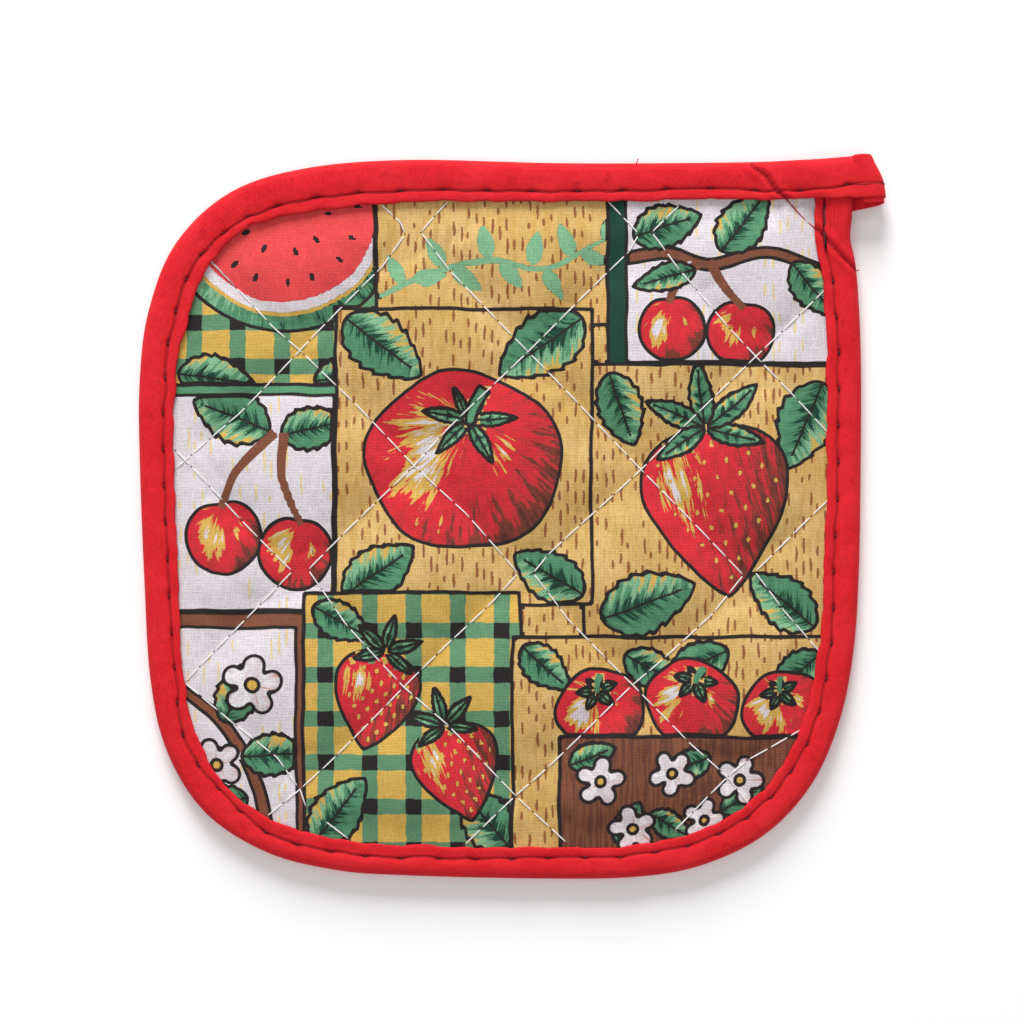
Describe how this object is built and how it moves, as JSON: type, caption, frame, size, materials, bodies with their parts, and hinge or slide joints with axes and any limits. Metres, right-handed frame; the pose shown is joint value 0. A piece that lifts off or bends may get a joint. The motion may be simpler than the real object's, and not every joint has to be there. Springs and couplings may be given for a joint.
{
  "type": "quilted pot holder",
  "caption": "Square padded kitchen pot holder of printed cotton, quilted in diamonds, with rounded corners, a bias-tape edge and a short hanging loop of the same tape.",
  "frame": {"origin": "on the surface it lies on, under the middle of the whole", "axes": "+Z out of the printed face, +Y towards the edge with the hanging loop, +X towards the loop's end"},
  "size_m": [0.1872, 0.1815, 0.0079],
  "materials": {
    "printed_cotton": "printed plain-weave cotton, matt",
    "bias_tape": "dyed woven cotton tape, matt",
    "quilting_thread": "twisted white sewing thread"
  },
  "bodies": {
    "root": {"pad": "printed_cotton", "binding": "bias_tape", "hanging_loop": "bias_tape"}
  },
  "joints": []
}
